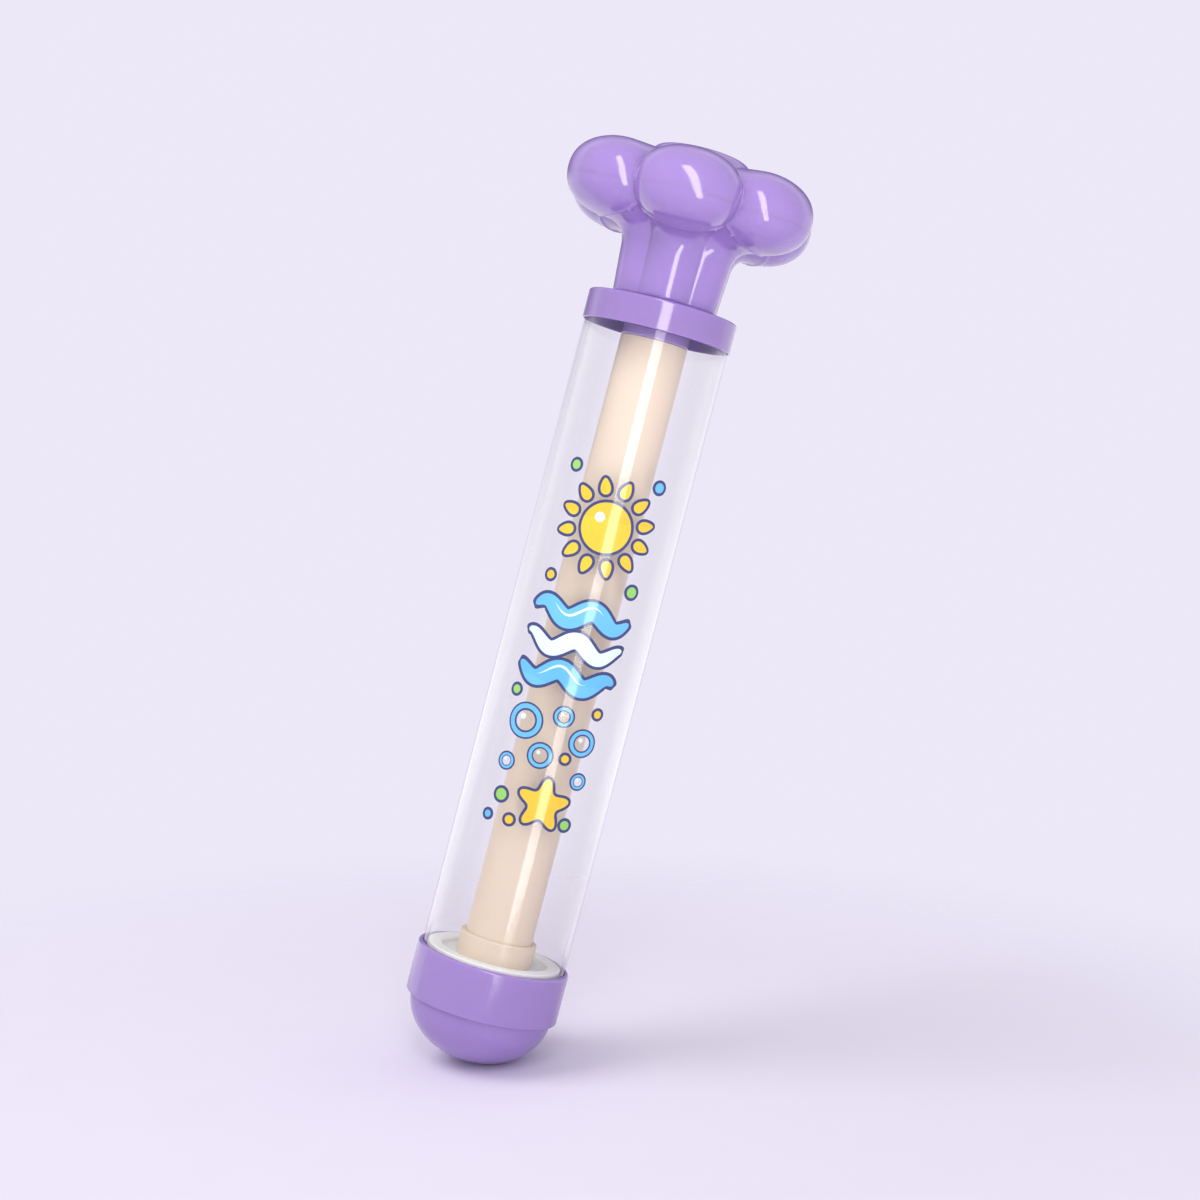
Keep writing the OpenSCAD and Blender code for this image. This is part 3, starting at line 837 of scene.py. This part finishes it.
def makePrint(p):
    printSun(sunLay)
    for ink, height, phase, half in waveLay["waves"]:
        printWave(waveLay, ink, height, phase, half)
    for middle, radius in bubbleLay["bubbles"]:
        printBubble(bubbleLay, middle, radius)
    printStar(starLay)
    for ink, middle, radius in dotLay:
        outlined(ink, middle, roundel(middle, radius, count=32))
    for name, sheet in inkSheets.items():
        makePiece("print_" + name, sheet["points"], sheet["faces"], "barrel", inks[name], sharp=p["sharp"],
                  merge=p["merge"])


makePrint(printLay)
print("print made")

# CAD pieces that stay as they are get their finish here
keptPieces = {"cap_gasket": "seal_rubber", "sealing_ring": "seal_rubber", "piston_washer": "screw_steel",
              "piston_screw": "screw_steel"}
for node, finish in keptPieces.items():
    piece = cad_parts[node]
    if not piece.material_slots:
        piece.data.materials.append(finishes[finish])
    for slot in piece.material_slots:
        slot.material = finishes[finish]
print("CAD pieces finished")


# Studio: plain light for the surfaces, a pale background for the camera and a sheen for reflections
studio = {"back": (0.84, 0.807, 0.94, 1), "ambientLow": (0.64, 0.57, 0.76, 1),
          "ambientHigh": (0.58, 0.57, 0.605, 1), "ambientReach": 0.9, "sheenDark": (0.16, 0.14, 0.26, 1),
          "sheenPale": (0.94, 0.91, 0.98, 1), "sheenPanel": (1.25, 1.22, 1.28, 1),
          "flagAway": (0.45, 0.90), "flagHigh": (0.02, 0.30), "panelAway": (0.36, 0.46),
          "panelSide": (0.05, 0.35), "panelRightShare": 0.9}


def makeWorld(s):
    world = bpy.data.worlds.new("studio")
    world.use_nodes = True
    world.node_tree.nodes.clear()
    scene.world = world
    w = Wire(world.node_tree)
    ray = w.node("ShaderNodeLightPath", out="Is Camera Ray")
    seen, gloss = ray.larger(ray.other("Is Transmission Ray")), ray.other("Is Glossy Ray")
    way = w.node("ShaderNodeTexCoord", out="Generated")
    away, high, left = way.along(look), way.along(up), way.along(-right)
    flag = away.ease(*s["flagAway"]) * high.ease(*s["flagHigh"])    # a dark flag behind, above the squirter
    sides = left.ease(*s["panelSide"]) + (left * -1).ease(*s["panelSide"]) * s["panelRightShare"]
    panel = away.ease(*s["panelAway"]) * sides                      # white panels at the sides
    sheen = flag.blend(panel.blend(s["sheenPale"], s["sheenPanel"]), s["sheenDark"])
    soft = high.ease(-s["ambientReach"], s["ambientReach"]).blend(s["ambientLow"], s["ambientHigh"])
    plain, back, shine = [w.node("ShaderNodeBackground", {}, {"Color": colour, "Strength": 1.0})
                          for colour in (soft, s["back"], sheen)]
    w.node("ShaderNodeOutputWorld", {}, {"Surface": gloss.mixed(seen.mixed(plain, back), shine)})


lamps = {"strip": {"far": 1.1, "side": 0.15, "rise": 0.12, "aim": 0.125, "wide": 0.28, "high": 2.1,
                   "lean": 8.0, "spread": 180, "power": 9.6, "shines": True},
         "key": {"far": 0.27, "side": -0.70, "rise": 0.96, "aim": 0.125, "wide": 0.7, "high": 0.7,
                 "lean": 0.0, "spread": 180, "power": 6.3, "shines": False},
         "fill": {"far": 0.28, "side": 0.02, "rise": -0.09, "aim": 0.23, "wide": 0.16, "high": 0.16,
                  "lean": 0.0, "spread": 90, "power": 0.085, "shines": False}}


def makeLamp(name, s):
    data = bpy.data.lights.new(name, "AREA")
    data.shape, data.size, data.size_y, data.energy = "RECTANGLE", s["wide"], s["high"], s["power"]
    data.spread = math.radians(s["spread"])
    lamp = bpy.data.objects.new(name, data)
    middle = Vector((0, 0, s["aim"]))
    spot = middle + right * s["side"] + up * s["rise"] - look * s["far"]
    shine = (middle - spot).normalized()
    lean = math.radians(s["lean"])
    across = shine.cross(up * math.cos(lean) - right * math.sin(lean)).normalized()
    lamp.matrix_world = Matrix((across, across.cross(shine), -shine)).transposed().to_4x4()
    lamp.matrix_world.translation = spot
    lamp.visible_camera, lamp.visible_glossy = False, s["shines"]
    scene.collection.objects.link(lamp)


floorSet = {"colour": (0.803, 0.762, 0.868, 1), "paler": 1.02, "r": 0.30, "tilt": 5.0, "gap": 0.00005,
            "fadeFrom": 0.35, "fadeTo": 0.97, "rough": 0.7, "mottleRough": 0.1, "mottleScale": 60,
            "shine": 0.1, "rings": 24, "around": 96}


def makeFloor(s):
    # a level disc that touches the dome; its rim fades into the background
    tilt = math.radians(s["tilt"])
    normal = (up * math.cos(tilt) - look * math.sin(tilt)).normalized()
    a, c = capForm["domeR"] * mm, capForm["domeH"] * mm
    reach = Vector((a * a * normal.x, a * a * normal.y, c * c * normal.z))
    touch = Vector((0, 0, c)) - reach / math.sqrt(reach.dot(normal))
    across = normal.cross(look).normalized()
    deep = normal.cross(across)
    rings, around = s["rings"], s["around"]
    points, faces = [touch], []
    for i in range(1, rings + 1):
        for j in range(around):
            t, r = 2 * math.pi * j / around, s["r"] * i / rings
            points.append(touch + across * (r * math.cos(t)) + deep * (r * math.sin(t)) - normal * s["gap"])
    for j in range(around):
        faces.append((0, 1 + j, 1 + (j + 1) % around))
        for i in range(rings - 1):
            b = 1 + i * around
            faces.append((b + j, b + around + j, b + around + (j + 1) % around, b + (j + 1) % around))
    mesh = bpy.data.meshes.new("floor")
    mesh.from_pydata([tuple(p) for p in points], [], faces)
    floor = bpy.data.objects.new("floor", mesh)
    scene.collection.objects.link(floor)
    made, w = startMaterial("floor_pale")
    spot = w.place()
    far = w.node("ShaderNodeVectorMath", {"operation": "DISTANCE"}, {0: spot, 1: tuple(touch)}, 1)
    mottle = spot.noise(s["mottleScale"], 3)
    pale = tuple(min(v * s["paler"], 1) for v in s["colour"])
    endMaterial(w, w.plastic({
        "Base Color": mottle.blend(s["colour"], pale), "Specular IOR Level": s["shine"],
        "Roughness": s["rough"] + mottle.swing(s["mottleRough"]),
        "Alpha": 1 - far.ease(s["r"] * s["fadeFrom"], s["r"] * s["fadeTo"])}))
    mesh.materials.append(made)


makeWorld(studio)
for lampName, lampSet in lamps.items():
    makeLamp(lampName, lampSet)
makeFloor(floorSet)
print("studio made")
